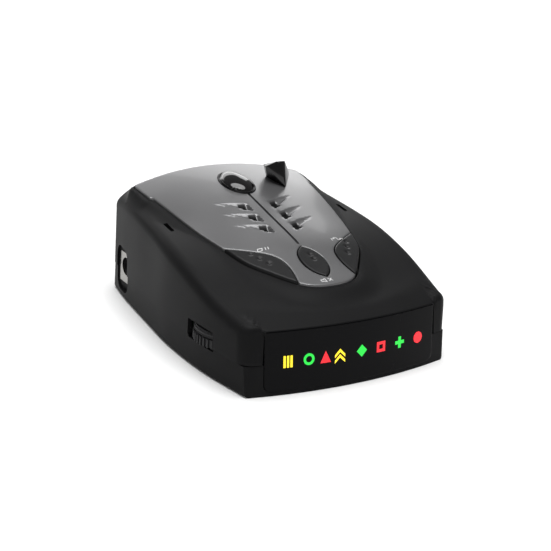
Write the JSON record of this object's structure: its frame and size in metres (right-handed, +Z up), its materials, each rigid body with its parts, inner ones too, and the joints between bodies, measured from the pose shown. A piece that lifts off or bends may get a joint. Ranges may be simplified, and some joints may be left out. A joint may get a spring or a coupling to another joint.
{
  "type": "dashboard radar detector",
  "caption": "Wedge-shaped dashboard radar detector with a dark front display window, press buttons, lenses and a side volume wheel.",
  "frame": {"origin": "middle of the underside, on the surface that the case stands on", "axes": "+Z up, -Y out of the display window, +Y out of the antenna window, +X to the right seen from the display"},
  "size_m": [0.0823, 0.1068, 0.0483],
  "materials": {
    "case_black": "fine matte moulded texture, near black",
    "panel_grey": "satin metallic grey lacquer",
    "button_grey": "satin darker grey lacquer",
    "gloss_black": "polished smoked acrylic, nearly opaque",
    "legend": "translucent coloured print, lit from behind",
    "mask": "matte black film",
    "clear": "clear acrylic light guide",
    "led": "diffused epoxy",
    "board_green": "solder mask over glass-fibre board",
    "chip": "moulded epoxy",
    "can": "sleeved aluminium can",
    "cast": "die-cast, bead blasted",
    "tin": "tinned steel sheet",
    "ir_lens": "infrared-passing acrylic",
    "wheel": "moulded plastic with ribbed rim",
    "steel": "turned steel",
    "nickel": "nickel plate",
    "screw": "blackened steel",
    "paper": "blank foil label",
    "cone": "pressed paper cone",
    "foam": "foam gasket",
    "magnet": "sintered ferrite",
    "switch": "moulded switch body"
  },
  "bodies": {
    "case": {"upper_case": "case_black", "lower_case": "case_black", "rating_plate": "paper", "top_panel": "panel_grey", "display_window": "gloss_black", "legend_inlays": "legend", "legend_mask": "mask", "light_guide": "clear", "display_leds": "led", "display_board": "board_green", "main_board": "board_green", "header": "chip", "processor": "chip", "capacitors": "can", "regulator": "chip", "horn_antenna": "cast", "receiver_board": "board_green", "receiver_shield": "tin", "horn_cover": "gloss_black", "laser_window": "ir_lens", "laser_sensor": "chip", "laser_bracket": "chip", "dome_lens": "gloss_black", "fin_lens": "gloss_black", "key_board": "board_green", "dim_switch": "switch", "mute_switch": "switch", "city_switch": "switch", "dome_led": "led", "fin_led": "led", "volume_pot": "switch", "jack_housing": "switch", "jack_plate": "nickel", "jack_pin": "nickel", "speaker_gasket": "foam", "speaker_basket": "tin", "speaker_cone": "cone", "speaker_magnet": "magnet", "case_screws": "screw", "key_board_screws": "screw"},
    "dim_button": {"dim_button": "button_grey", "dim_actuator": "switch"},
    "mute_button": {"mute_button": "button_grey", "mute_actuator": "switch"},
    "city_button": {"city_button": "button_grey", "city_actuator": "switch"},
    "volume_wheel": {"volume_wheel": "wheel", "wheel_shaft": "steel"}
  },
  "joints": [
    {"name": "dim_press", "type": "slide", "parent": "case", "child": "dim_button", "axis": [0, 0.2756, -0.9613], "range_m": [0, 0.0004], "stiffness_N_per_m": 900},
    {"name": "mute_press", "type": "slide", "parent": "case", "child": "mute_button", "axis": [0, 0.2756, -0.9613], "range_m": [0, 0.0004], "stiffness_N_per_m": 900},
    {"name": "city_press", "type": "slide", "parent": "case", "child": "city_button", "axis": [0, 0.2756, -0.9613], "range_m": [0, 0.0004], "stiffness_N_per_m": 900},
    {"name": "volume_turn", "type": "hinge", "parent": "case", "child": "volume_wheel", "pos_m": [-0.03032, -0.0269, 0.012], "axis": [0, 0, 1], "range_deg": [-140, 140]}
  ]
}
